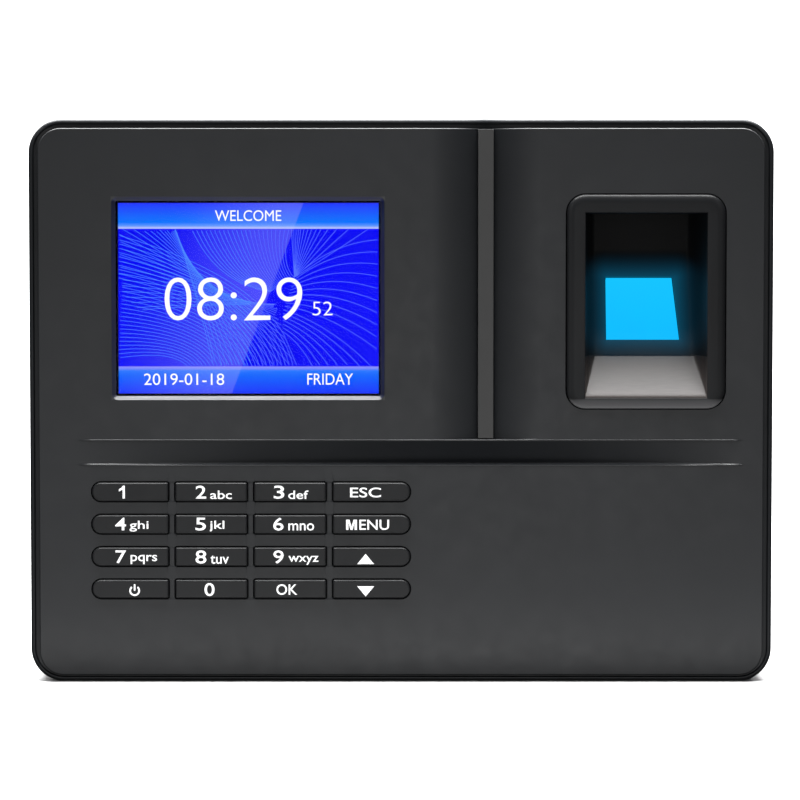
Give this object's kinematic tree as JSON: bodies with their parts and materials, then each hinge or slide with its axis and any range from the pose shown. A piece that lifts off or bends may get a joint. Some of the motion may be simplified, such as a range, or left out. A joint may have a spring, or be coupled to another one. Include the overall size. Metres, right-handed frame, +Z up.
{
  "type": "fingerprint attendance terminal",
  "caption": "Wide upright terminal with a colour display, a four-row keypad, a lit finger pocket, a sculpted front and a steel wall plate.",
  "frame": {"origin": "middle of the base, under the middle of the bounding box", "axes": "+X to the right as the user sees the front, +Y from the user into the terminal, +Z up"},
  "size_m": [0.185, 0.0312, 0.14],
  "materials": {
    "front_plastic": "satin charcoal, fine spark texture",
    "rear_plastic": "matte black",
    "hood_plastic": "smooth satin black",
    "strip_plastic": "smooth mid grey",
    "key_plastic": "semi-gloss dark grey, white legends",
    "silicone": "dull",
    "lens_acrylic": "clear",
    "picture": "lit blue picture",
    "reader_glass": "lit cyan",
    "circuit_board": "green solder mask",
    "black_plastic": "matte",
    "socket_plastic": "natural",
    "flexible_print": "amber film",
    "lead_sheath": "matte",
    "label_paper": "blank silver-grey",
    "steel_sheet": "zinc plated",
    "zinc_steel": "zinc plated",
    "brass": "bright"
  },
  "bodies": {
    "terminal": {"front_cover": "front_plastic", "rear_cover": "rear_plastic", "finger_hood": "hood_plastic", "accent_strip": "strip_plastic", "display_lens": "lens_acrylic", "display_panel": "picture", "display_frame": "steel_sheet", "display_ribbon": "flexible_print", "reader_window": "reader_glass", "reader_housing": "black_plastic", "reader_board": "circuit_board", "reader_screw_1": "zinc_steel", "reader_screw_2": "zinc_steel", "keypad_mat": "silicone", "main_board": "circuit_board", "usb_shell": "steel_sheet", "usb_tongue": "socket_plastic", "power_jack": "black_plastic", "power_jack_pin": "brass", "processor_chip": "black_plastic", "memory_chip": "black_plastic", "display_socket": "socket_plastic", "reader_socket": "socket_plastic", "speaker_socket": "socket_plastic", "cell_holder": "black_plastic", "coin_cell": "zinc_steel", "board_screw_1": "zinc_steel", "board_screw_2": "zinc_steel", "board_screw_3": "zinc_steel", "board_screw_4": "zinc_steel", "speaker_frame": "steel_sheet", "speaker_cone": "black_plastic", "reader_lead": "lead_sheath", "speaker_lead": "lead_sheath", "case_screw_1": "zinc_steel", "case_screw_2": "zinc_steel", "case_screw_3": "zinc_steel", "case_screw_4": "zinc_steel", "case_screw_5": "zinc_steel", "case_screw_6": "zinc_steel", "wall_plate": "steel_sheet", "wall_plate_screw": "zinc_steel", "rating_label": "label_paper"},
    "key_1_cap": {"key_1": "key_plastic"},
    "key_2_cap": {"key_2": "key_plastic"},
    "key_3_cap": {"key_3": "key_plastic"},
    "key_esc_cap": {"key_esc": "key_plastic"},
    "key_4_cap": {"key_4": "key_plastic"},
    "key_5_cap": {"key_5": "key_plastic"},
    "key_6_cap": {"key_6": "key_plastic"},
    "key_menu_cap": {"key_menu": "key_plastic"},
    "key_7_cap": {"key_7": "key_plastic"},
    "key_8_cap": {"key_8": "key_plastic"},
    "key_9_cap": {"key_9": "key_plastic"},
    "key_up_cap": {"key_up": "key_plastic"},
    "key_power_cap": {"key_power": "key_plastic"},
    "key_0_cap": {"key_0": "key_plastic"},
    "key_ok_cap": {"key_ok": "key_plastic"},
    "key_down_cap": {"key_down": "key_plastic"}
  },
  "joints": [
    {"name": "key_1_press", "type": "slide", "parent": "terminal", "child": "key_1_cap", "axis": [0, 1, 0], "range_m": [0, 0.0008], "stiffness_N_per_m": 1500, "deforming": ["keypad_mat"]},
    {"name": "key_2_press", "type": "slide", "parent": "terminal", "child": "key_2_cap", "axis": [0, 1, 0], "range_m": [0, 0.0008], "stiffness_N_per_m": 1500, "deforming": ["keypad_mat"]},
    {"name": "key_3_press", "type": "slide", "parent": "terminal", "child": "key_3_cap", "axis": [0, 1, 0], "range_m": [0, 0.0008], "stiffness_N_per_m": 1500, "deforming": ["keypad_mat"]},
    {"name": "key_esc_press", "type": "slide", "parent": "terminal", "child": "key_esc_cap", "axis": [0, 1, 0], "range_m": [0, 0.0008], "stiffness_N_per_m": 1500, "deforming": ["keypad_mat"]},
    {"name": "key_4_press", "type": "slide", "parent": "terminal", "child": "key_4_cap", "axis": [0, 1, 0], "range_m": [0, 0.0008], "stiffness_N_per_m": 1500, "deforming": ["keypad_mat"]},
    {"name": "key_5_press", "type": "slide", "parent": "terminal", "child": "key_5_cap", "axis": [0, 1, 0], "range_m": [0, 0.0008], "stiffness_N_per_m": 1500, "deforming": ["keypad_mat"]},
    {"name": "key_6_press", "type": "slide", "parent": "terminal", "child": "key_6_cap", "axis": [0, 1, 0], "range_m": [0, 0.0008], "stiffness_N_per_m": 1500, "deforming": ["keypad_mat"]},
    {"name": "key_menu_press", "type": "slide", "parent": "terminal", "child": "key_menu_cap", "axis": [0, 1, 0], "range_m": [0, 0.0008], "stiffness_N_per_m": 1500, "deforming": ["keypad_mat"]},
    {"name": "key_7_press", "type": "slide", "parent": "terminal", "child": "key_7_cap", "axis": [0, 1, 0], "range_m": [0, 0.0008], "stiffness_N_per_m": 1500, "deforming": ["keypad_mat"]},
    {"name": "key_8_press", "type": "slide", "parent": "terminal", "child": "key_8_cap", "axis": [0, 1, 0], "range_m": [0, 0.0008], "stiffness_N_per_m": 1500, "deforming": ["keypad_mat"]},
    {"name": "key_9_press", "type": "slide", "parent": "terminal", "child": "key_9_cap", "axis": [0, 1, 0], "range_m": [0, 0.0008], "stiffness_N_per_m": 1500, "deforming": ["keypad_mat"]},
    {"name": "key_up_press", "type": "slide", "parent": "terminal", "child": "key_up_cap", "axis": [0, 1, 0], "range_m": [0, 0.0008], "stiffness_N_per_m": 1500, "deforming": ["keypad_mat"]},
    {"name": "key_power_press", "type": "slide", "parent": "terminal", "child": "key_power_cap", "axis": [0, 1, 0], "range_m": [0, 0.0008], "stiffness_N_per_m": 1500, "deforming": ["keypad_mat"]},
    {"name": "key_0_press", "type": "slide", "parent": "terminal", "child": "key_0_cap", "axis": [0, 1, 0], "range_m": [0, 0.0008], "stiffness_N_per_m": 1500, "deforming": ["keypad_mat"]},
    {"name": "key_ok_press", "type": "slide", "parent": "terminal", "child": "key_ok_cap", "axis": [0, 1, 0], "range_m": [0, 0.0008], "stiffness_N_per_m": 1500, "deforming": ["keypad_mat"]},
    {"name": "key_down_press", "type": "slide", "parent": "terminal", "child": "key_down_cap", "axis": [0, 1, 0], "range_m": [0, 0.0008], "stiffness_N_per_m": 1500, "deforming": ["keypad_mat"]}
  ]
}
